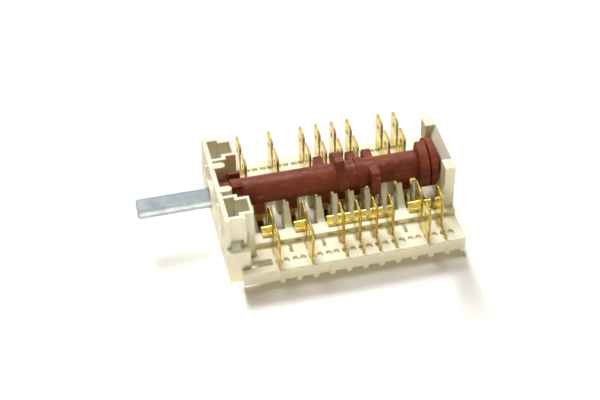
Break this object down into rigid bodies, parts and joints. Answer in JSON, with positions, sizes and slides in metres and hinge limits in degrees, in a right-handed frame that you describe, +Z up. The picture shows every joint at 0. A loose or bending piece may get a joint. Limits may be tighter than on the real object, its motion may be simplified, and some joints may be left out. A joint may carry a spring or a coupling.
{
  "type": "oven selector switch",
  "caption": "Open frame rotary cam selector switch: ivory base, brick red camshaft on a D shaft, rows of brass blade terminals with sprung contact arms beneath.",
  "frame": {"origin": "middle of the bounding box's bottom face", "axes": "+X along the shaft from its tip to the rear plate, +Z up from the base"},
  "size_m": [0.0936, 0.0502, 0.0227],
  "materials": {
    "ivory_plastic": "moulded thermoplastic, ivory",
    "brick_plastic": "moulded thermoset, brick red",
    "zinc_steel": "zinc plated, satin",
    "brass": "stamped sheet brass",
    "spring_brass": "spring bronze strip",
    "contact_silver": "silver alloy contact face",
    "bright_steel": "bright steel"
  },
  "bodies": {
    "root": {"base_housing": "ivory_plastic", "front_bracket": "ivory_plastic", "near_terminal_0": "brass", "near_terminal_2": "brass", "near_terminal_4": "brass", "near_terminal_5": "brass", "near_terminal_6": "brass", "near_terminal_7": "brass", "near_terminal_9": "brass", "near_terminal_10": "brass", "far_terminal_0": "brass", "far_terminal_2": "brass", "far_terminal_4": "brass", "far_terminal_5": "brass", "far_terminal_6": "brass", "far_terminal_7": "brass", "far_terminal_9": "brass", "far_terminal_10": "brass", "fixed_contact_0": "contact_silver", "fixed_contact_2": "contact_silver", "fixed_contact_4": "contact_silver", "fixed_contact_5": "contact_silver", "fixed_contact_6": "contact_silver", "fixed_contact_7": "contact_silver", "fixed_contact_9": "contact_silver", "fixed_contact_10": "contact_silver", "detent_spring_near": "bright_steel", "detent_spring_far": "bright_steel"},
    "rotor": {"camshaft": "brick_plastic", "drive_shaft": "zinc_steel"},
    "arm_0": {"contact_arm_0": "spring_brass", "arm_contact_0": "contact_silver"},
    "arm_2": {"contact_arm_2": "spring_brass", "arm_contact_2": "contact_silver"},
    "arm_4": {"contact_arm_4": "spring_brass", "arm_contact_4": "contact_silver"},
    "arm_5": {"contact_arm_5": "spring_brass", "arm_contact_5": "contact_silver"},
    "arm_6": {"contact_arm_6": "spring_brass", "arm_contact_6": "contact_silver"},
    "arm_7": {"contact_arm_7": "spring_brass", "arm_contact_7": "contact_silver"},
    "arm_9": {"contact_arm_9": "spring_brass", "arm_contact_9": "contact_silver"},
    "arm_10": {"contact_arm_10": "spring_brass", "arm_contact_10": "contact_silver"},
    "detent_near": {"detent_plunger_near": "bright_steel"},
    "detent_far": {"detent_plunger_far": "bright_steel"}
  },
  "joints": [
    {"name": "rotor_turn", "type": "hinge", "parent": "root", "child": "rotor", "pos_m": [-0.01075, 0, 0.0153], "axis": [1, 0, 0], "continuous": true},
    {"name": "arm_0_flex", "type": "hinge", "parent": "root", "child": "arm_0", "pos_m": [-0.01075, -0.0084, 0.0056], "axis": [1, 0, 0], "range_deg": [-2.5, 0], "stiffness_Nm_per_rad": 0.02},
    {"name": "arm_2_flex", "type": "hinge", "parent": "root", "child": "arm_2", "pos_m": [-0.00075, -0.0084, 0.0056], "axis": [1, 0, 0], "range_deg": [-2.5, 0], "stiffness_Nm_per_rad": 0.02},
    {"name": "arm_4_flex", "type": "hinge", "parent": "root", "child": "arm_4", "pos_m": [0.00925, -0.0084, 0.0056], "axis": [1, 0, 0], "range_deg": [-2.5, 0], "stiffness_Nm_per_rad": 0.02},
    {"name": "arm_5_flex", "type": "hinge", "parent": "root", "child": "arm_5", "pos_m": [0.01425, -0.0084, 0.0056], "axis": [1, 0, 0], "range_deg": [-2.5, 0], "stiffness_Nm_per_rad": 0.02},
    {"name": "arm_6_flex", "type": "hinge", "parent": "root", "child": "arm_6", "pos_m": [0.01925, -0.0084, 0.0056], "axis": [1, 0, 0], "range_deg": [-2.5, 0], "stiffness_Nm_per_rad": 0.02},
    {"name": "arm_7_flex", "type": "hinge", "parent": "root", "child": "arm_7", "pos_m": [0.02425, -0.0084, 0.0056], "axis": [1, 0, 0], "range_deg": [-2.5, 0], "stiffness_Nm_per_rad": 0.02},
    {"name": "arm_9_flex", "type": "hinge", "parent": "root", "child": "arm_9", "pos_m": [0.03425, -0.0084, 0.0056], "axis": [1, 0, 0], "range_deg": [-2.5, 0], "stiffness_Nm_per_rad": 0.02},
    {"name": "arm_10_flex", "type": "hinge", "parent": "root", "child": "arm_10", "pos_m": [0.03925, -0.0084, 0.0056], "axis": [1, 0, 0], "range_deg": [-2.5, 0], "stiffness_Nm_per_rad": 0.02},
    {"name": "detent_near_slide", "type": "slide", "parent": "root", "child": "detent_near", "axis": [0, 1, 0], "range_m": [0, 0.0012], "stiffness_N_per_m": 300},
    {"name": "detent_far_slide", "type": "slide", "parent": "root", "child": "detent_far", "axis": [0, -1, 0], "range_m": [0, 0.0012], "stiffness_N_per_m": 300}
  ]
}
